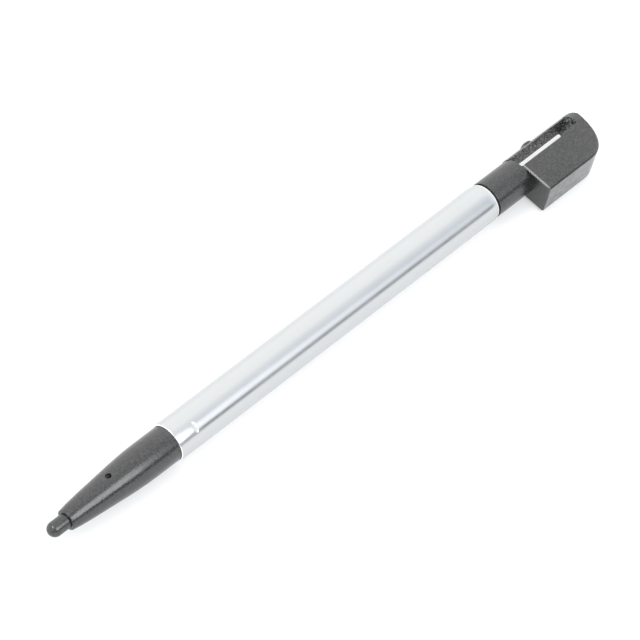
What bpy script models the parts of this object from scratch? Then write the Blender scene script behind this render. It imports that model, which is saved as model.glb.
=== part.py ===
"""Telescopic touch stylus for a handheld: metal tube, moulded head with a spring latch, sliding tip."""
import math

import bmesh
import bpy

MM = 0.001
SEGMENTS = 48

# Lengths are millimetres along the stylus, measured from the end of the nib.
TOTAL_LENGTH = 87.5
AXIS_Y = 0.95
AXIS_Z = 2.45
GAP = 0.05

TUBE_FRONT = 17.8
TUBE_REAR = 70.25
TUBE_R = 2.45
TUBE_BORE_R = 2.15
RIM_CHAMFER = 0.12

NECK_R = 2.36
SPIGOT_R = 2.10
SPIGOT_FRONT = 62.0
FLAG_FRONT = 76.15
FLAG_R = 2.45
FLAG_SIDE_Y = -4.70
FLAG_TOP_EDGE_R = 0.25
FLAG_BOTTOM_EDGE_R = 0.70
FLAG_CORNER_R = 0.30
# Plan outline of the head's free end, from the near side round to the far side.
FLAG_END = (
    (83.50, -4.70),
    (84.50, -4.62),
    (85.30, -4.33),
    (86.00, -3.83),
    (86.58, -3.12),
    (87.06, -2.15),
    (87.36, -1.00),
    (87.48, 0.00),
    (87.50, 0.60),
    (87.44, 1.30),
    (87.24, 1.95),
    (86.90, 2.40),
    (86.50, 2.60),
)

# Plan outline of the pocket, which is open to the far side where the latch arm closes it.
POCKET_PLAN = (
    (76.00, 3.00),
    (76.00, 0.15),
    (76.10, -0.10),
    (76.35, -0.20),
    (83.20, -0.20),
    (83.60, 0.05),
    (85.70, 0.05),
    (86.15, 0.30),
    (86.30, 0.80),
    (86.30, 1.60),
    (86.10, 1.75),
    (86.10, 3.00),
)

ARM_FRONT = 76.05
ARM_REAR = 86.05
ARM_INNER_Y = 1.80
BUMP_X = 80.25
BUMP_Y = 2.35
BUMP_Z = 0.15
BUMP_HALF = (0.95, 0.45, 0.8)

NIB_R = 0.92
NIB_LENGTH = 2.48
STEM_R = 0.70
STEM_REAR = 6.2
CONE_FRONT = 2.53
CONE_BORE_R = 1.32
CONE_BORE_FRONT = 7.8
CONE_PASSAGE_R = 0.5
# Radius of the tip cone along its length.
CONE_PROFILE = (
    (2.53, 1.13),
    (2.66, 1.26),
    (3.69, 1.46),
    (5.18, 1.62),
    (6.66, 1.75),
    (8.15, 1.88),
    (9.61, 2.01),
    (11.10, 2.13),
    (12.60, 2.22),
    (14.20, 2.26),
    (17.60, 2.27),
    (17.75, 2.20),
)
PEG_HOLE_X = 9.0
PEG_HOLE_R = 0.36
PEG_HOLE_LEAN = -13.0

BUSH_REAR = 21.0
BUSH_R = 2.10
BUSH_BORE_R = 1.95

MIDDLE_FRONT = 18.1
MIDDLE_REAR = 40.2
MIDDLE_R = 1.88
MIDDLE_BORE_R = 1.63
MIDDLE_COLLAR = (38.6, 40.8)
MIDDLE_COLLAR_R = 2.09
MIDDLE_SPRING = (35.15, 38.5)
MIDDLE_SPRING_R = 2.08
MIDDLE_BUSH_REAR = 21.0
MIDDLE_BUSH_R = 1.58
MIDDLE_BUSH_BORE_R = 1.32

INNER_FRONT = 8.0
INNER_REAR = 41.0
INNER_R = 1.25
INNER_BORE_R = 1.00
INNER_COLLAR = (39.2, 41.6)
INNER_COLLAR_R = 1.58
INNER_SPRING = (35.15, 39.1)
INNER_SPRING_R = 1.57
SPRING_GAP_DEGREES = 45.0

BLACK = (0.022, 0.022, 0.024)
METAL = (0.80, 0.82, 0.84)
STEEL = (0.60, 0.61, 0.63)
BRASS = (0.70, 0.52, 0.25)
BRONZE = (0.55, 0.36, 0.20)
GUIDE = (0.75, 0.75, 0.73)


def clear_scene():
    for item in list(bpy.data.objects):
        bpy.data.objects.remove(item, do_unlink=True)


def make_material(name, colour, metallic, roughness):
    material = bpy.data.materials.new(name)
    material.use_nodes = True
    shader = material.node_tree.nodes["Principled BSDF"]
    shader.inputs["Base Color"].default_value = (*colour, 1.0)
    shader.inputs["Metallic"].default_value = metallic
    shader.inputs["Roughness"].default_value = roughness
    return material


def place(name, mesh, material):
    """Put a mesh drawn about the tube's axis at its place, with its origin on that axis."""
    part = bpy.data.objects.new(name, mesh)
    part.location = (0.0, AXIS_Y * MM, AXIS_Z * MM)
    bpy.context.collection.objects.link(part)
    if material is not None:
        mesh.materials.append(material)
    return part


def along(x):
    return (x - TOTAL_LENGTH / 2) * MM


def finish_mesh(name, shape, smooth=True):
    bmesh.ops.recalc_face_normals(shape, faces=shape.faces)
    mesh = bpy.data.meshes.new(name)
    shape.to_mesh(mesh)
    shape.free()
    if smooth:
        mesh.shade_smooth()
        mesh.set_sharp_from_angle(angle=math.radians(35))
    return mesh


def lathe(name, profile, material, start=0.0, sweep=360.0):
    """Turn a closed profile of (length, radius) about the tube's axis."""
    shape = bmesh.new()
    full = sweep >= 360.0
    steps = SEGMENTS if full else round(SEGMENTS * sweep / 360.0)
    columns = steps if full else steps + 1
    grid = []
    for length, radius in profile:
        if radius == 0.0:
            grid.append([shape.verts.new((along(length), 0.0, 0.0))] * columns)
            continue
        row = []
        for column in range(columns):
            angle = math.radians(start + sweep * column / steps)
            y = radius * MM * math.cos(angle)
            z = radius * MM * math.sin(angle)
            row.append(shape.verts.new((along(length), y, z)))
        grid.append(row)
    touches_axis = profile[0][1] == 0.0
    pairs = len(profile) - 1 if touches_axis else len(profile)
    for index in range(pairs):
        first = grid[index]
        second = grid[(index + 1) % len(grid)]
        for column in range(steps):
            after = (column + 1) % columns
            corners = (first[column], first[after], second[after], second[column])
            shape.faces.new(list(dict.fromkeys(corners)))
    if not full:
        shape.faces.new([row[0] for row in grid])
        shape.faces.new([row[-1] for row in reversed(grid)])
    return place(name, finish_mesh(name, shape), material)


def prism(name, outline, start, end, axis):
    """Extrude an outline along one axis; 'x' outlines are (y, z) pairs, 'z' outlines are (x, y) pairs."""
    shape = bmesh.new()
    rows = []
    for level in (start, end):
        row = []
        for first, second in outline:
            if axis == "x":
                point = (along(level), first * MM, second * MM)
            else:
                point = (along(first), second * MM, level * MM)
            row.append(shape.verts.new(point))
        rows.append(row)
    shape.faces.new(rows[0])
    shape.faces.new(list(reversed(rows[1])))
    for index in range(len(outline)):
        after = (index + 1) % len(outline)
        shape.faces.new((rows[0][after], rows[0][index], rows[1][index], rows[1][after]))
    return place(name, finish_mesh(name, shape), None)


def combine(part, other, operation):
    """Apply a Boolean to a part and remove the shape it was made with."""
    modifier = part.modifiers.new(operation.title(), "BOOLEAN")
    modifier.operation = operation
    modifier.solver = "EXACT"
    modifier.object = other
    bpy.context.view_layer.objects.active = part
    bpy.ops.object.modifier_apply(modifier=modifier.name)
    bpy.data.objects.remove(other, do_unlink=True)


def arc(centre, radius, start, end, steps):
    points = []
    for step in range(steps + 1):
        angle = math.radians(start + (end - start) * step / steps)
        x = centre[0] + radius * math.cos(angle)
        y = centre[1] + radius * math.sin(angle)
        points.append((x, y))
    return points


def tube(name, front, rear, outer, bore, chamfer, material):
    profile = (
        (front, outer - chamfer),
        (front + chamfer, outer),
        (rear - chamfer, outer),
        (rear, outer - chamfer),
        (rear, bore),
        (front, bore),
    )
    return lathe(name, profile, material)


def head_section():
    """Half a round bar on the far side, running flat into a rounded block on the near side."""
    outline = arc((0.0, 0.0), FLAG_R, -90.0, 90.0, SEGMENTS // 2)
    top = (FLAG_SIDE_Y + FLAG_TOP_EDGE_R, FLAG_R - FLAG_TOP_EDGE_R)
    outline += arc(top, FLAG_TOP_EDGE_R, 90.0, 180.0, 4)
    bottom = (FLAG_SIDE_Y + FLAG_BOTTOM_EDGE_R, FLAG_BOTTOM_EDGE_R - FLAG_R)
    outline += arc(bottom, FLAG_BOTTOM_EDGE_R, 180.0, 270.0, 6)
    return outline


def head_plan():
    corner = (FLAG_FRONT + FLAG_CORNER_R, FLAG_SIDE_Y + FLAG_CORNER_R)
    outline = arc(corner, FLAG_CORNER_R, 180.0, 270.0, 4)
    outline += FLAG_END
    outline.append((FLAG_FRONT, 2.60))
    return outline


def make_head(material):
    head = prism("head_cap", head_section(), FLAG_FRONT - 0.5, TOTAL_LENGTH + 0.5, "x")
    combine(head, prism("plan", head_plan(), -3.0, 3.0, "z"), "INTERSECT")
    neck_profile = (
        (SPIGOT_FRONT, 0.0),
        (SPIGOT_FRONT, SPIGOT_R - 0.15),
        (SPIGOT_FRONT + 0.15, SPIGOT_R),
        (TUBE_REAR + GAP, SPIGOT_R),
        (TUBE_REAR + GAP, NECK_R),
        (FLAG_FRONT + 1.0, NECK_R),
        (FLAG_FRONT + 1.0, 0.0),
    )
    combine(head, lathe("neck", neck_profile, None), "UNION")
    combine(head, prism("pocket", POCKET_PLAN, -3.0, 3.0, "z"), "DIFFERENCE")
    head.data.materials.clear()
    head.data.materials.append(material)
    return head


def make_latch_arm(material):
    reach = math.degrees(math.acos(ARM_INNER_Y / FLAG_R))
    section = arc((0.0, 0.0), FLAG_R, -reach, reach, 14)
    arm = prism("latch_arm", section, ARM_FRONT, ARM_REAR, "x")
    shape = bmesh.new()
    bmesh.ops.create_uvsphere(shape, u_segments=20, v_segments=12, radius=MM)
    bmesh.ops.scale(shape, vec=BUMP_HALF, verts=shape.verts)
    centre = (along(BUMP_X), BUMP_Y * MM, BUMP_Z * MM)
    bmesh.ops.translate(shape, vec=centre, verts=shape.verts)
    bump = place("bump", finish_mesh("bump", shape), None)
    combine(arm, bump, "UNION")
    arm.data.materials.clear()
    arm.data.materials.append(material)
    return arm


def make_tip_cone(material):
    profile = list(CONE_PROFILE)
    profile.append((17.75, CONE_BORE_R))
    profile.append((CONE_BORE_FRONT, CONE_BORE_R))
    profile.append((CONE_BORE_FRONT, CONE_PASSAGE_R))
    profile.append((STEM_REAR + GAP, CONE_PASSAGE_R))
    profile.append((STEM_REAR + GAP, STEM_R + GAP))
    profile.append((CONE_FRONT, STEM_R + GAP))
    cone = lathe("tip_cone", profile, material)
    hole_outline = arc((PEG_HOLE_X, 0.0), PEG_HOLE_R, 0.0, 337.5, 15)
    hole = prism("peg_hole", hole_outline, 1.0, 3.0, "z")
    hole.rotation_euler.x = math.radians(PEG_HOLE_LEAN)
    bpy.context.view_layer.update()
    combine(cone, hole, "DIFFERENCE")
    return cone


def make_nib(material):
    profile = [(0.0, 0.0)]
    for step in range(1, 7):
        angle = math.radians(90.0 * step / 6)
        profile.append((NIB_R * (1 - math.cos(angle)), NIB_R * math.sin(angle)))
    profile.append((NIB_LENGTH, NIB_R))
    profile.append((NIB_LENGTH, STEM_R))
    profile.append((STEM_REAR, STEM_R))
    profile.append((STEM_REAR, 0.0))
    return lathe("nib", profile, material)


def make_barrel():
    metal = make_material("tube_metal", METAL, 1.0, 0.25)
    black = make_material("black_plastic", BLACK, 0.0, 0.45)
    guide = make_material("guide_plastic", GUIDE, 0.0, 0.4)
    tube("outer_tube", TUBE_FRONT, TUBE_REAR, TUBE_R, TUBE_BORE_R, RIM_CHAMFER, metal)
    tube("mouth_bush", TUBE_FRONT + 0.05, BUSH_REAR, BUSH_R, BUSH_BORE_R, 0.05, guide)
    make_head(black)
    make_latch_arm(black)


def make_middle_stage():
    steel = make_material("middle_steel", STEEL, 1.0, 0.2)
    brass = make_material("collar_brass", BRASS, 1.0, 0.3)
    bronze = make_material("spring_bronze", BRONZE, 1.0, 0.35)
    guide = make_material("middle_guide_plastic", GUIDE, 0.0, 0.4)
    tube("middle_tube", MIDDLE_FRONT, MIDDLE_REAR, MIDDLE_R, MIDDLE_BORE_R, 0.06, steel)
    front, rear = MIDDLE_COLLAR
    collar = (
        (front, MIDDLE_R + GAP),
        (front, MIDDLE_COLLAR_R),
        (rear, MIDDLE_COLLAR_R),
        (rear, MIDDLE_BORE_R),
        (MIDDLE_REAR + GAP, MIDDLE_BORE_R),
        (MIDDLE_REAR + GAP, MIDDLE_R + GAP),
    )
    lathe("middle_stop_collar", collar, brass)
    front, rear = MIDDLE_SPRING
    spring = (
        (front, MIDDLE_R + GAP),
        (front, MIDDLE_SPRING_R),
        (rear, MIDDLE_SPRING_R),
        (rear, MIDDLE_R + GAP),
    )
    lathe("middle_friction_spring", spring, bronze, 112.5, 360.0 - SPRING_GAP_DEGREES)
    bush = (MIDDLE_FRONT + 0.05, MIDDLE_BUSH_REAR)
    tube("middle_bush", bush[0], bush[1], MIDDLE_BUSH_R, MIDDLE_BUSH_BORE_R, 0.04, guide)


def make_tip_stage():
    steel = make_material("inner_steel", STEEL, 1.0, 0.2)
    brass = make_material("inner_collar_brass", BRASS, 1.0, 0.3)
    bronze = make_material("inner_spring_bronze", BRONZE, 1.0, 0.35)
    black = make_material("tip_plastic", BLACK, 0.0, 0.45)
    nib_black = make_material("nib_plastic", BLACK, 0.0, 0.35)
    tube("inner_tube", INNER_FRONT, INNER_REAR, INNER_R, INNER_BORE_R, 0.05, steel)
    front, rear = INNER_COLLAR
    collar = (
        (front, INNER_R + GAP),
        (front, INNER_COLLAR_R),
        (rear, INNER_COLLAR_R),
        (rear, INNER_BORE_R),
        (INNER_REAR + GAP, INNER_BORE_R),
        (INNER_REAR + GAP, INNER_R + GAP),
    )
    lathe("inner_stop_collar", collar, brass)
    front, rear = INNER_SPRING
    spring = (
        (front, INNER_R + GAP),
        (front, INNER_SPRING_R),
        (rear, INNER_SPRING_R),
        (rear, INNER_R + GAP),
    )
    lathe("inner_friction_spring", spring, bronze, 112.5, 360.0 - SPRING_GAP_DEGREES)
    make_tip_cone(black)
    make_nib(nib_black)


clear_scene()
make_barrel()
make_middle_stage()
make_tip_stage()
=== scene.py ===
"""Looks of a telescopic touch stylus lying on a white ground under soft studio light."""

import math

import bmesh
import bpy
from mathutils import Matrix, Vector


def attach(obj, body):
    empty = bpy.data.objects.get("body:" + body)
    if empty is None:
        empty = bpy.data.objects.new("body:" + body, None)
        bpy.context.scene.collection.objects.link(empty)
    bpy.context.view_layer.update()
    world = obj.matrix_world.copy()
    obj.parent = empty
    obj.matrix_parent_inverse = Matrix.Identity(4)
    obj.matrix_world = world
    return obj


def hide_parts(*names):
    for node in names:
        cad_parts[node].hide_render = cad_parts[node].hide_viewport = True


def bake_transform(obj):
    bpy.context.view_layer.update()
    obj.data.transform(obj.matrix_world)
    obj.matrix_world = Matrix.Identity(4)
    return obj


MM = 0.001
AXIS_Y = 0.95
AXIS_Z = 2.45
HALF_LENGTH = 43.75
ROUND_SEGMENTS = 144

# Lengths are millimetres along the stylus, measured from the end of the nib.
TUBE = (17.8, 70.25)
TUBE_R = 2.45
TUBE_BORE_R = 2.15
TUBE_RIM = 0.14
# How long the tube's rear curl is, and how far it turns in.
TUBE_REAR_CURL = (1.3, 0.12)
PUNCH_X = 20.53
PUNCH_ANGLES = (108.0, 134.0)
PUNCH_DEPTH = 0.10
PUNCH_HALF_WIDTH = 0.13

NECK_FRONT = 70.52
NECK_R = 2.36
SPIGOT_FRONT = 62.0
SPIGOT_R = 2.10
FLAG_FRONT = 76.15
FLAG_R = 2.45
FLAG_SIDE_Y = -4.70
# The flag's top edges: how far in and how far down each is cut.
FRONT_CHAMFER = (0.21, 0.142)
SIDE_CHAMFER = (0.20, 0.20)
FLAG_BOTTOM_EDGE_R = 0.70
HEAD_SLICES = 72
FLAG_END = (
    (83.50, -4.70),
    (84.50, -4.62),
    (85.30, -4.33),
    (86.00, -3.83),
    (86.58, -3.12),
    (87.06, -2.15),
    (87.36, -1.00),
    (87.48, 0.00),
    (87.50, 0.60),
    (87.44, 1.30),
    (87.24, 1.95),
    (86.90, 2.40),
    (86.50, 2.60),
)
# Plan outline of the pocket, which the latch arm closes on the far side.
POCKET_PLAN = (
    (76.00, 3.00),
    (76.00, -0.20),
    (83.20, -0.20),
    (83.60, 0.05),
    (86.30, 0.05),
    (86.30, 1.70),
    (86.10, 1.75),
    (86.10, 3.00),
)
POCKET_X = (76.05, 86.40)
POCKET_FILLET = 0.3
POCKET_RIBS = (84.15, 84.80, 85.45)
RIB_Y = 0.02
RIB_R = 0.22
RIB_Z = (-2.2, 2.30)
NECK_FILLET = 0.07
THROUGH = (-3.0, 3.0)

ARM_X = (76.05, 86.05)
ARM_INNER_Y = 1.80
# How far the bridge runs into the head at each end, and a distance either side of the bump.
BRIDGE_OVERLAP = 0.1
BRIDGE_FREE = 1.2
BRIDGE_FILLET = 0.14
BUMP_CENTRE = (80.25, 2.35, 0.15)
BUMP_HALF = (0.95, 0.44, 0.78)

CONE_PROFILE = (
    (3.69, 1.46),
    (5.18, 1.62),
    (6.66, 1.75),
    (8.15, 1.88),
    (9.61, 2.01),
    (11.10, 2.13),
    (12.60, 2.22),
    (14.20, 2.26),
)
PEG_HOLE_X = 9.0
PEG_HOLE_R = 0.36
PEG_HOLE_LEAN = -13.0

# Camera: place in millimetres, turn in degrees.
CAMERA_PLACE = (-181.12, -109.95, 300.19)
CAMERA_AZIMUTH = 58.234
CAMERA_ELEVATION = 54.553
CAMERA_ROLL = 15.541
CAMERA_LENS = 180.0


def along(x):
    return (x - HALF_LENGTH) * MM


def about_axis(x, radius, angle):
    """A point at a radius and angle round the tube's axis; angle 0 faces +Y and 90 faces up."""
    y = AXIS_Y * MM + radius * MM * math.cos(angle)
    z = AXIS_Z * MM + radius * MM * math.sin(angle)
    return Vector((along(x), y, z))


def new_object(name, shape, material, sharp=35.0):
    bmesh.ops.recalc_face_normals(shape, faces=shape.faces)
    mesh = bpy.data.meshes.new(name)
    shape.to_mesh(mesh)
    shape.free()
    mesh.shade_smooth()
    mesh.set_sharp_from_angle(angle=math.radians(sharp))
    if material is not None:
        mesh.materials.append(material)
    piece = bpy.data.objects.new(name, mesh)
    bpy.context.collection.objects.link(piece)
    return piece


def filleted(corners, radius, steps=4):
    """Round every corner of a closed outline of 2D points."""
    outline = []
    for index, corner in enumerate(corners):
        here = Vector(corner)
        before = Vector(corners[index - 1]) - here
        after = Vector(corners[(index + 1) % len(corners)]) - here
        bend = math.pi - before.angle(after)
        if here.y == 0.0 or bend < math.radians(18.0):
            outline.append((here.x, here.y))
            continue
        cut = min(radius, 0.45 * before.length, 0.45 * after.length)
        first = here + before.normalized() * cut
        last = here + after.normalized() * cut
        for step in range(steps + 1):
            t = step / steps
            point = first.lerp(here, t).lerp(here.lerp(last, t), t)
            outline.append((point.x, point.y))
    return outline


def lathe(name, profile, material, start=0.0, sweep=360.0, segments=ROUND_SEGMENTS):
    """Turn a closed outline of (length, radius) points about the tube's axis."""
    shape = bmesh.new()
    full = sweep >= 360.0
    steps = segments if full else round(segments * sweep / 360.0)
    columns = steps if full else steps + 1
    grid = []
    for length, radius in profile:
        if radius == 0.0:
            centre = shape.verts.new(about_axis(length, 0.0, 0.0))
            grid.append([centre] * columns)
            continue
        row = []
        for column in range(columns):
            angle = math.radians(start + sweep * column / steps)
            row.append(shape.verts.new(about_axis(length, radius, angle)))
        grid.append(row)
    pairs = len(grid) - 1 if profile[0][1] == 0.0 else len(grid)
    for index in range(pairs):
        first = grid[index]
        second = grid[(index + 1) % len(grid)]
        for column in range(steps):
            after = (column + 1) % columns
            corners = (first[column], first[after], second[after], second[column])
            shape.faces.new(list(dict.fromkeys(corners)))
    if not full:
        shape.faces.new([row[0] for row in grid])
        shape.faces.new([row[-1] for row in reversed(grid)])
    return new_object(name, shape, material)


def smooth_curve(points, steps=5):
    """Points along a smooth curve through the given ones."""
    curve = []
    last = len(points) - 1
    for index in range(last):
        p0 = Vector(points[max(index - 1, 0)])
        p1 = Vector(points[index])
        p2 = Vector(points[index + 1])
        p3 = Vector(points[min(index + 2, last)])
        for step in range(steps):
            t = step / steps
            bend = (p2 - p0) * t
            bend += (2 * p0 - 5 * p1 + 4 * p2 - p3) * t ** 2
            bend += (3 * p1 - p0 - 3 * p2 + p3) * t ** 3
            point = p1 + bend / 2
            curve.append((point.x, point.y))
    curve.append(tuple(points[last]))
    return curve


def prism(name, outline, start, end, axis, material=None, cuts=1):
    """Extrude an outline; axis 'x' takes (y, z) pairs and axis 'z' takes (x, y) pairs."""
    shape = bmesh.new()
    rows = []
    for cut in range(cuts + 1):
        level = start + (end - start) * cut / cuts
        row = []
        for first, second in outline:
            if axis == "x":
                point = (along(level), (AXIS_Y + first) * MM, (AXIS_Z + second) * MM)
            else:
                point = (along(first), (AXIS_Y + second) * MM, (AXIS_Z + level) * MM)
            row.append(shape.verts.new(point))
        rows.append(row)
    shape.faces.new(rows[0])
    shape.faces.new(list(reversed(rows[-1])))
    for lower, upper in zip(rows, rows[1:]):
        for index in range(len(outline)):
            after = (index + 1) % len(outline)
            shape.faces.new((lower[after], lower[index], upper[index], upper[after]))
    return new_object(name, shape, material)


def arc(centre, radius, start, end, steps):
    points = []
    for step in range(steps + 1):
        angle = math.radians(start + (end - start) * step / steps)
        x = centre[0] + radius * math.cos(angle)
        y = centre[1] + radius * math.sin(angle)
        points.append((x, y))
    return points


def apply_modifiers(piece):
    """Make a piece's modifiers part of its mesh."""
    graph = bpy.context.evaluated_depsgraph_get()
    mesh = bpy.data.meshes.new_from_object(piece.evaluated_get(graph), depsgraph=graph)
    piece.modifiers.clear()
    old = piece.data
    piece.data = mesh
    bpy.data.meshes.remove(old)
    mesh.shade_smooth()
    mesh.set_sharp_from_angle(angle=math.radians(35.0))


def combine(piece, other, operation):
    """Apply a Boolean to a piece and remove the shape it was made with."""
    boolean = piece.modifiers.new(operation.title(), "BOOLEAN")
    boolean.operation = operation
    boolean.solver = "EXACT"
    boolean.object = other
    apply_modifiers(piece)
    bpy.data.objects.remove(other, do_unlink=True)


def set_inputs(shader, **values):
    names = {
        "colour": "Base Color",
        "metallic": "Metallic",
        "roughness": "Roughness",
        "reflectivity": "Specular IOR Level",
    }
    for key, value in values.items():
        shader.inputs[names[key]].default_value = value


def new_material(name, colour, metallic, roughness):
    material = bpy.data.materials.new(name)
    material.use_nodes = True
    shader = material.node_tree.nodes["Principled BSDF"]
    set_inputs(shader, colour=(*colour, 1.0), metallic=metallic, roughness=roughness)
    return material, shader


def object_position(nodes):
    return nodes.new("ShaderNodeTexCoord").outputs["Object"]


def add_grain(material, shader, scale, strength, distance, detail=4.0):
    """Raise a fine uneven grain on a surface."""
    nodes = material.node_tree.nodes
    links = material.node_tree.links
    noise = nodes.new("ShaderNodeTexNoise")
    noise.inputs["Scale"].default_value = scale
    noise.inputs["Detail"].default_value = detail
    bump = nodes.new("ShaderNodeBump")
    bump.inputs["Strength"].default_value = strength
    bump.inputs["Distance"].default_value = distance * MM
    links.new(object_position(nodes), noise.inputs["Vector"])
    links.new(noise.outputs["Fac"], bump.inputs["Height"])
    links.new(bump.outputs["Normal"], shader.inputs["Normal"])


def vary_roughness(material, shader, scale, low, high):
    nodes = material.node_tree.nodes
    links = material.node_tree.links
    noise = nodes.new("ShaderNodeTexNoise")
    noise.inputs["Scale"].default_value = scale
    noise.inputs["Detail"].default_value = 3.0
    spread = nodes.new("ShaderNodeMapRange")
    spread.inputs["From Min"].default_value = 0.3
    spread.inputs["From Max"].default_value = 0.7
    spread.inputs["To Min"].default_value = low
    spread.inputs["To Max"].default_value = high
    links.new(object_position(nodes), noise.inputs["Vector"])
    links.new(noise.outputs["Fac"], spread.inputs["Value"])
    links.new(spread.outputs["Result"], shader.inputs["Roughness"])


def black_plastic(name, roughness, grain):
    material, shader = new_material(name, (0.014, 0.014, 0.014), 0.0, roughness)
    shader.inputs["IOR"].default_value = 1.75
    add_speckle(material, shader, 4600.0, 0.002, 0.030)
    add_grain(material, shader, 4200.0, grain, 0.03)
    return material


def add_speckle(material, shader, scale, dark, light, ends=(0.38, 0.64)):
    """Fine light and dark flecks in a surface's colour."""
    nodes = material.node_tree.nodes
    links = material.node_tree.links
    noise = nodes.new("ShaderNodeTexNoise")
    noise.inputs["Scale"].default_value = scale
    noise.inputs["Detail"].default_value = 3.0
    ramp = nodes.new("ShaderNodeValToRGB")
    ramp.color_ramp.elements[0].position = ends[0]
    ramp.color_ramp.elements[0].color = (dark, dark, dark, 1.0)
    ramp.color_ramp.elements[1].position = ends[1]
    ramp.color_ramp.elements[1].color = (light, light, light, 1.0)
    links.new(object_position(nodes), noise.inputs["Vector"])
    links.new(noise.outputs["Fac"], ramp.inputs["Fac"])
    links.new(ramp.outputs["Color"], shader.inputs["Base Color"])


def textured_plastic(name):
    """The rougher face inside the head's pocket."""
    material, shader = new_material(name, (0.05, 0.05, 0.05), 0.0, 0.4)
    add_speckle(material, shader, 3600.0, 0.003, 0.46, (0.48, 0.66))
    add_grain(material, shader, 1800.0, 1.0, 0.15, detail=2.0)
    return material


def side_painted_sheen_plastic(name):
    """The flag's near side: a glossier coat, and a lighter colour than the rest of the head, which
    is painted sheen.
    """
    material, shader = new_material(name, (0.08, 0.08, 0.08), 0.0, 0.28)
    shader.inputs["IOR"].default_value = 1.58
    shader.inputs["Coat Weight"].default_value = 0.35
    shader.inputs["Coat Roughness"].default_value = 0.12
    # Lighter flecks than the head's black elsewhere: painted sheen on the near side.
    add_speckle(material, shader, 2000.0, 0.045, 0.12)
    add_grain(material, shader, 2600.0, 0.3, 0.05)
    return material


def tube_metal(name):
    material, shader = new_material(name, (0.552, 0.560, 0.567), 1.0, 0.2)
    add_grain(material, shader, 160.0, 0.12, 0.05, detail=2.0)
    vary_roughness(material, shader, 220.0, 0.22, 0.28)
    return material


def turned_metal(name, colour, roughness):
    material, shader = new_material(name, colour, 1.0, roughness)
    add_grain(material, shader, 900.0, 0.05, 0.02)
    vary_roughness(material, shader, 500.0, roughness - 0.04, roughness + 0.05)
    return material


def guide_plastic(name):
    material, shader = new_material(name, (0.70, 0.70, 0.67), 0.0, 0.4)
    add_grain(material, shader, 2500.0, 0.1, 0.02)
    return material


def sleeve_outline(front, rear, outer, bore, fillet):
    corners = ((front, bore), (front, outer), (rear, outer), (rear, bore))
    return filleted(corners, fillet)


def make_outer_tube(material, rim_highlight_material):
    front, rear = TUBE
    corners = [(front, TUBE_BORE_R), (front, TUBE_R)]
    for step in range(-15, 16):
        corners.append((PUNCH_X + step * 0.03, TUBE_R))
    length, drop = TUBE_REAR_CURL
    for step in range(11):
        part = step / 10
        corners.append((rear - length * (1.0 - part), TUBE_R - drop * part ** 2))
    corners.append((rear, TUBE_BORE_R))
    tube = lathe("tube_metal_skin", filleted(corners, TUBE_RIM), material, segments=288)
    punch_tube(tube)
    # The end fillets take a near-white metal: a painted highlight along both rims.
    tube.data.materials.append(rim_highlight_material)
    for face in tube.data.polygons:
        x = face.center.x / MM + HALF_LENGTH
        if min(x - front, rear - x) < TUBE_RIM and abs(face.normal.x) > 0.15:
            face.material_index = 1
    return tube


def punch_tube(tube):
    """Press the short cross mark that holds the guide bush inside the mouth."""
    axis = about_axis(PUNCH_X, 0.0, 0.0)
    middle = math.radians(sum(PUNCH_ANGLES) / 2)
    half = math.radians(PUNCH_ANGLES[1] - PUNCH_ANGLES[0]) / 2
    for vertex in tube.data.vertices:
        out = Vector((0.0, vertex.co.y - axis.y, vertex.co.z - axis.z))
        if out.length < 2.4 * MM:
            continue
        across = (vertex.co.x - axis.x) / (PUNCH_HALF_WIDTH * MM)
        round_angle = (math.atan2(out.z, out.y) - middle) / half
        if abs(across) > 3.0 or abs(round_angle) > 1.3:
            continue
        depth = math.exp(-across ** 2) / (1.0 + abs(round_angle) ** 12)
        vertex.co -= out.normalized() * depth * PUNCH_DEPTH * MM


def head_plan():
    """Plan outline of the flag's block, anticlockwise from the front corner on the near side."""
    outline = arc((FLAG_FRONT + 0.3, FLAG_SIDE_Y + 0.3), 0.3, 180.0, 270.0, 6)
    outline += smooth_curve(FLAG_END)
    outline.append((FLAG_FRONT, 2.60))
    return [Vector((min(x, 2 * HALF_LENGTH), y)) for x, y in outline]


def moved_in(outline, distance):
    """An anticlockwise outline drawn smaller by a distance."""
    smaller = []
    for index, point in enumerate(outline):
        before = point - outline[index - 1]
        after = outline[(index + 1) % len(outline)] - point
        side = Vector((-before.y, before.x)).normalized() + Vector((-after.y, after.x)).normalized()
        side = side.normalized()
        lean = max(side.dot(Vector((-after.y, after.x)).normalized()), 0.5)
        smaller.append(point + side * distance / lean)
    return smaller


def edge_inset(height, chamfer):
    """How far the flag's outline steps in near its flat top and its rounded bottom edge."""
    if height > 0.0:
        inwards, downwards = chamfer
        return inwards * max(1.0 - (FLAG_R - height) / downwards, 0.0)
    depth = max(FLAG_BOTTOM_EDGE_R - (FLAG_R + height), 0.0)
    return FLAG_BOTTOM_EDGE_R - math.sqrt(FLAG_BOTTOM_EDGE_R ** 2 - depth ** 2)


def make_head_block():
    """Slices of the flag from bottom to top: its far side is half a round bar."""
    plan = head_plan()
    shape = bmesh.new()
    rows = []
    for step in range(HEAD_SLICES + 1):
        angle = math.pi * (step / HEAD_SLICES - 0.5)
        height = FLAG_R * math.sin(angle)
        reach = FLAG_R * math.cos(angle)
        front = moved_in(plan, edge_inset(height, FRONT_CHAMFER))
        sides = moved_in(plan, edge_inset(height, SIDE_CHAMFER))
        row = []
        for corner, on_front, on_side in zip(plan, front, sides):
            point = on_front if corner.x < FLAG_FRONT + 0.1 else on_side
            y = min(point.y, reach)
            place = (along(point.x), (AXIS_Y + y) * MM, (AXIS_Z + height) * MM)
            row.append(shape.verts.new(place))
        rows.append(row)
    shape.faces.new(rows[0])
    shape.faces.new(list(reversed(rows[-1])))
    for lower, upper in zip(rows, rows[1:]):
        for index in range(len(plan)):
            after = (index + 1) % len(plan)
            shape.faces.new((lower[after], lower[index], upper[index], upper[after]))
    bmesh.ops.remove_doubles(shape, verts=shape.verts, dist=0.0005 * MM)
    return new_object("head_body", shape, None)


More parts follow.
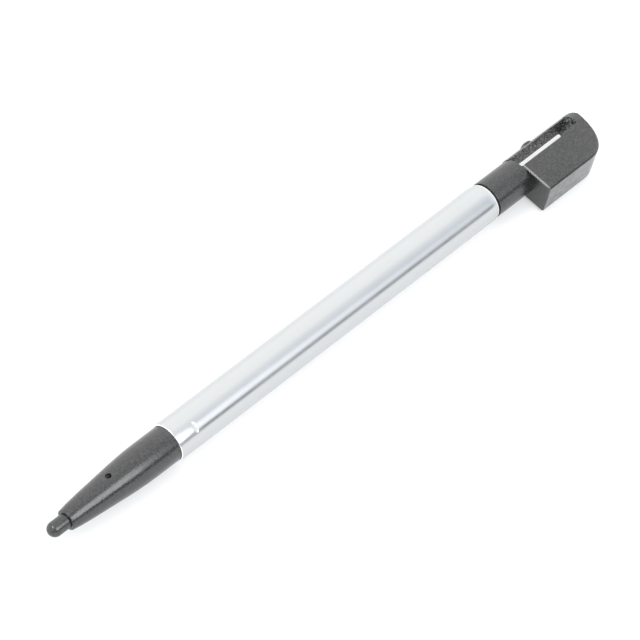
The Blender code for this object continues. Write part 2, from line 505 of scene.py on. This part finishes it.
def finish_head_faces(head, looks):
    """Rough walls in the pocket, a near side on the flag with a glossier coat and a painted sheen,
    the first look elsewhere.
    """
    head.data.materials.clear()
    for look in looks:
        head.data.materials.append(look)
    for face in head.data.polygons:
        x = face.center.x / MM + HALF_LENGTH
        y = face.center.y / MM - AXIS_Y
        if abs(face.normal.z) < 0.7 and POCKET_X[0] < x < POCKET_X[1] and y > -0.3:
            face.material_index = 2
        # The flag's near side takes the second look, with its painted sheen.
        elif face.normal.y < -0.85 and y < -3.5:
            face.material_index = 1


def make_head(material, side_painted_sheen_material, pocket_material):
    head = make_head_block()
    corners = (
        (SPIGOT_FRONT, 0.0),
        (SPIGOT_FRONT, SPIGOT_R),
        (NECK_FRONT, SPIGOT_R),
        (NECK_FRONT, NECK_R),
        (FLAG_FRONT + 1.0, NECK_R),
        (FLAG_FRONT + 1.0, 0.0),
    )
    neck = lathe("neck", filleted(corners, NECK_FILLET), None)
    combine(head, neck, "UNION")
    pocket = prism("pocket", filleted(POCKET_PLAN, POCKET_FILLET), *THROUGH, "z")
    combine(head, pocket, "DIFFERENCE")
    for x in POCKET_RIBS:
        rib = prism("rib", arc((x, RIB_Y), RIB_R, 0.0, 345.0, 23), *RIB_Z, "z")
        combine(head, rib, "UNION")
    finish_head_faces(head, (material, side_painted_sheen_material, pocket_material))
    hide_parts("head_cap")
    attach(head, "barrel")


def make_latch_arm(material, inner_material):
    """The bridge beyond the pocket, made as two halves from its ends to its middle, and the bump on
    its middle.
    """
    reach = math.degrees(math.acos(ARM_INNER_Y / FLAG_R))
    section = arc((0.0, 0.0), FLAG_R - 0.01, -reach, reach, 36)
    middle = BUMP_CENTRE[0]
    ends = (
        (ARM_X[0] - BRIDGE_OVERLAP, middle - BRIDGE_FREE),
        (ARM_X[1] + BRIDGE_OVERLAP, middle + BRIDGE_FREE),
    )
    for index, (fixed, free) in enumerate(ends):
        name = f"latch_bridge_{index + 1}"
        outline = filleted(section, BRIDGE_FILLET)
        half = prism(name, outline, fixed, middle, "x", material, cuts=30)
        half.data.materials.append(inner_material)
        for face in half.data.polygons:
            if face.normal.y < -0.8:
                face.material_index = 1
        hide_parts("latch_arm")
        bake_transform(half)
    shape = bmesh.new()
    bmesh.ops.create_uvsphere(shape, u_segments=64, v_segments=40, radius=MM)
    bmesh.ops.scale(shape, vec=BUMP_HALF, verts=shape.verts)
    centre = (along(BUMP_CENTRE[0]), (AXIS_Y + BUMP_CENTRE[1]) * MM, (AXIS_Z + BUMP_CENTRE[2]) * MM)
    bmesh.ops.translate(shape, vec=centre, verts=shape.verts)
    bump = new_object("latch_bump", shape, material)
    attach(bump, "latch")


def make_cone(material):
    corners = [(2.53, 0.76), (2.53, 1.27)]
    corners += smooth_curve(CONE_PROFILE)
    corners += [(17.75, 2.27), (17.75, 1.32), (7.8, 1.32), (7.8, 0.5), (6.25, 0.5), (6.25, 0.76)]
    cone = lathe("tip_cone_body", filleted(corners, 0.11), material, segments=192)
    hole = prism("hole", arc((PEG_HOLE_X, 0.0), PEG_HOLE_R, 0.0, 352.5, 47), 1.0, 3.0, "z")
    turn = Matrix.Rotation(math.radians(PEG_HOLE_LEAN), 4, "X")
    centre = Matrix.Translation((0.0, AXIS_Y * MM, AXIS_Z * MM))
    hole.matrix_world = centre @ turn @ centre.inverted()
    bpy.context.view_layer.update()
    combine(cone, hole, "DIFFERENCE")
    cone.data.materials.clear()
    cone.data.materials.append(material)
    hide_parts("tip_cone")
    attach(cone, "tip_stage")


def make_nib(material):
    profile = [(0.0, 0.0)]
    for step in range(1, 15):
        angle = math.radians(90.0 * step / 14)
        profile.append((0.92 * (1 - math.cos(angle)), 0.92 * math.sin(angle)))
    profile += [(2.505, 0.92), (2.52, 0.905), (2.52, 0.70), (6.2, 0.70), (6.2, 0.0)]
    nib = lathe("nib_body", profile, material)
    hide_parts("nib")
    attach(nib, "tip_stage")


def make_sleeve(name, node, body, sizes, material, fillet=0.05):
    sleeve = lathe(name, sleeve_outline(*sizes, fillet), material)
    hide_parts(node)
    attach(sleeve, body)


def make_stop_collar(name, node, body, sizes, material):
    """A ring swaged over the end of a tube."""
    front, end, rear, outer, tube_r, bore = sizes
    corners = (
        (front, tube_r + 0.05),
        (front, outer),
        (rear, outer),
        (rear, bore),
        (end + 0.05, bore),
        (end + 0.05, tube_r + 0.05),
    )
    collar = lathe(name, filleted(corners, 0.06), material)
    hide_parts(node)
    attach(collar, body)


def make_split_spring(name, node, body, sizes, material):
    spring = lathe(name, sleeve_outline(*sizes, 0.03), material, start=112.5, sweep=315.0)
    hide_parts(node)
    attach(spring, body)


def make_stages():
    steel = turned_metal("stage_steel_look", (0.66, 0.67, 0.69), 0.2)
    brass = turned_metal("collar_brass_look", (0.72, 0.53, 0.25), 0.3)
    bronze = turned_metal("spring_bronze_look", (0.56, 0.36, 0.20), 0.35)
    guide = guide_plastic("guide_plastic_look")
    make_sleeve("mouth_guide", "mouth_bush", "barrel", (17.85, 21.0, 2.10, 1.95), guide)
    make_sleeve("middle_sleeve", "middle_tube", "middle_stage", (18.1, 40.2, 1.88, 1.63), steel)
    make_sleeve("middle_guide", "middle_bush", "middle_stage", (18.15, 21.0, 1.58, 1.32), guide)
    make_sleeve("inner_sleeve", "inner_tube", "tip_stage", (8.0, 41.0, 1.25, 1.00), steel)
    middle = (38.6, 40.2, 40.8, 2.09, 1.88, 1.63)
    inner = (39.2, 41.0, 41.6, 1.58, 1.25, 1.00)
    make_stop_collar("middle_stop", "middle_stop_collar", "middle_stage", middle, brass)
    make_stop_collar("inner_stop", "inner_stop_collar", "tip_stage", inner, brass)
    middle = (35.15, 38.5, 2.08, 1.93)
    inner = (35.15, 39.1, 1.57, 1.30)
    make_split_spring("middle_spring", "middle_friction_spring", "middle_stage", middle, bronze)
    make_split_spring("inner_spring", "inner_friction_spring", "tip_stage", inner, bronze)


def make_stylus():
    plastic = black_plastic("head_plastic_look", 0.26, 0.6)
    tip = black_plastic("tip_plastic_look", 0.23, 0.45)
    nib = black_plastic("nib_plastic_look", 0.24, 0.12)
    pocket = textured_plastic("pocket_plastic_look")
    # Near-white metal for the tube's end fillets: a painted highlight along the rims.
    rim = turned_metal("tube_rim_painted_highlight_look", (0.95, 0.955, 0.96), 0.12)
    tube = make_outer_tube(tube_metal("tube_metal_look"), rim)
    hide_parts("outer_tube")
    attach(tube, "barrel")
    # The flag's near side gets a lighter plastic: painted sheen.
    make_head(plastic, side_painted_sheen_plastic("side_plastic_painted_sheen_look"), pocket)
    make_latch_arm(plastic, pocket)
    make_cone(tip)
    make_nib(nib)
    make_stages()


def make_floor():
    bpy.ops.mesh.primitive_plane_add(size=6.0)
    floor = bpy.context.object
    floor.name = "floor"
    material, shader = new_material("floor_white", (0.55, 0.55, 0.55), 0.0, 0.9)
    set_inputs(shader, reflectivity=0.1)
    shader.inputs["Emission Color"].default_value = (1.0, 1.0, 1.0, 1.0)
    shader.inputs["Emission Strength"].default_value = 0.44
    floor.data.materials.append(material)


# Brightness of the surroundings by angle about the tube: 0 is level on the near side, 90 overhead.
SKY = (
    (-180.0, 1.54),
    (0.0, 1.50),
    (8.0, 1.43),
    (13.0, 1.14),
    (17.0, 0.17),
    (24.0, 0.19),
    (29.0, 0.90),
    (40.0, 1.00),
    (62.0, 0.99),
    (75.0, 1.14),
    (90.0, 1.29),
    (105.0, 1.50),
    (140.0, 1.53),
    (180.0, 1.54),
)
SKY_TOP = 2.0
# Past this share of the +X direction the surroundings fade to one even level.
BEYOND_HEAD = (0.64, 0.76)
BEYOND_HEAD_LEVEL = 1.5


def add_math(nodes, links, operation, first, second):
    """A Math node's output; its second input is a socket or a plain number."""
    step = nodes.new("ShaderNodeMath")
    step.operation = operation
    links.new(first, step.inputs[0])
    if isinstance(second, float):
        step.inputs[1].default_value = second
    else:
        links.new(second, step.inputs[1])
    return step.outputs["Value"]


def add_range(nodes, links, value, low, high):
    """Where a value lies between low and high, from 0 to 1."""
    part = nodes.new("ShaderNodeMapRange")
    part.inputs["From Min"].default_value = low
    part.inputs["From Max"].default_value = high
    links.new(value, part.inputs["Value"])
    return part.outputs["Result"]


def sky_curve(nodes):
    """SKY as a curve: a whole turn runs from 0 to 1, and its height is a part of SKY_TOP."""
    curve = nodes.new("ShaderNodeFloatCurve")
    points = curve.mapping.curves[0].points
    for index, (degrees, level) in enumerate(SKY):
        place = ((degrees + 180.0) / 360.0, level / SKY_TOP)
        if index < 2:
            points[index].location = place
        else:
            points.new(*place)
    for point in points:
        point.handle_type = "VECTOR"
    curve.mapping.update()
    return curve


def make_surroundings():
    world = bpy.data.worlds.new("Studio")
    bpy.context.scene.world = world
    world.use_nodes = True
    nodes = world.node_tree.nodes
    links = world.node_tree.links
    direction = nodes.new("ShaderNodeTexCoord")
    split = nodes.new("ShaderNodeSeparateXYZ")
    links.new(direction.outputs["Generated"], split.inputs["Vector"])
    nearness = add_math(nodes, links, "MULTIPLY", split.outputs["Y"], -1.0)
    angle = add_math(nodes, links, "ARCTAN2", split.outputs["Z"], nearness)
    curve = sky_curve(nodes)
    links.new(add_range(nodes, links, angle, -math.pi, math.pi), curve.inputs["Value"])
    level = nodes.new("ShaderNodeMix")
    level.inputs["B"].default_value = BEYOND_HEAD_LEVEL
    links.new(add_range(nodes, links, split.outputs["X"], *BEYOND_HEAD), level.inputs["Factor"])
    around = add_math(nodes, links, "MULTIPLY", curve.outputs["Value"], SKY_TOP)
    links.new(around, level.inputs["A"])
    tint = nodes.new("ShaderNodeValToRGB")
    dim, bright = tint.color_ramp.elements
    dim.position, dim.color = 0.50, (0.93, 0.99, 1.05, 1.0)
    bright.position, bright.color = 0.72, (0.99, 1.0, 0.99, 1.0)
    links.new(curve.outputs["Value"], tint.inputs["Fac"])
    background = nodes["Background"]
    links.new(tint.outputs["Color"], background.inputs["Color"])
    links.new(level.outputs["Result"], background.inputs["Strength"])


def make_light(name, place, target, size, power):
    light = bpy.data.lights.new(name, "AREA")
    light.shape = "RECTANGLE"
    light.size = size[0]
    light.size_y = size[1]
    light.energy = power
    lamp = bpy.data.objects.new(name, light)
    lamp.location = place
    aim = Vector(target) - Vector(place)
    lamp.rotation_euler = aim.to_track_quat("-Z", "Y").to_euler()
    bpy.context.collection.objects.link(lamp)


def make_camera():
    azimuth = math.radians(CAMERA_AZIMUTH)
    elevation = math.radians(CAMERA_ELEVATION)
    roll = math.radians(CAMERA_ROLL)
    forward = Vector((
        math.sin(azimuth) * math.cos(elevation),
        math.cos(azimuth) * math.cos(elevation),
        -math.sin(elevation),
    ))
    level = Vector((math.cos(azimuth), -math.sin(azimuth), 0.0))
    up = level.cross(forward)
    right = level * math.cos(roll) + up * math.sin(roll)
    top = up * math.cos(roll) - level * math.sin(roll)
    camera_data = bpy.data.cameras.new("Camera")
    camera_data.lens = CAMERA_LENS
    camera_data.sensor_width = 36.0
    camera_data.clip_start = 0.01
    camera_data.clip_end = 20.0
    camera = bpy.data.objects.new("Camera", camera_data)
    turn = Matrix((right, top, -forward)).transposed().to_4x4()
    camera.matrix_world = Matrix.Translation(Vector(CAMERA_PLACE) * MM) @ turn
    bpy.context.collection.objects.link(camera)
    bpy.context.scene.camera = camera


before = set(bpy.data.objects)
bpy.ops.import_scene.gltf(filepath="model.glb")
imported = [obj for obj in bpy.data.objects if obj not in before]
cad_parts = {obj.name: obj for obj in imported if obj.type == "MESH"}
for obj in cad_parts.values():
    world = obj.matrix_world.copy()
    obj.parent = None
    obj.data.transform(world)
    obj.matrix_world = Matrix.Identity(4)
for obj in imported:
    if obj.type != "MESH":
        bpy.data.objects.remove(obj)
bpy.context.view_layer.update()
make_stylus()
make_floor()
make_surroundings()
make_light("Near soft box", (0.015, -0.30, 0.36), (-0.03, 0.0, 0.0), (0.245, 0.29), 0.82)
make_light("Long soft box", (0.17, -0.32, 0.34), (0.0, 0.0, 0.0), (0.20, 0.22), 0.07)
make_light("Left soft box", (-0.278, 0.165, 0.492), (0.0, 0.0, 0.0), (0.13, 0.13), 0.6)
make_camera()
bpy.context.scene.view_settings.view_transform = "Standard"
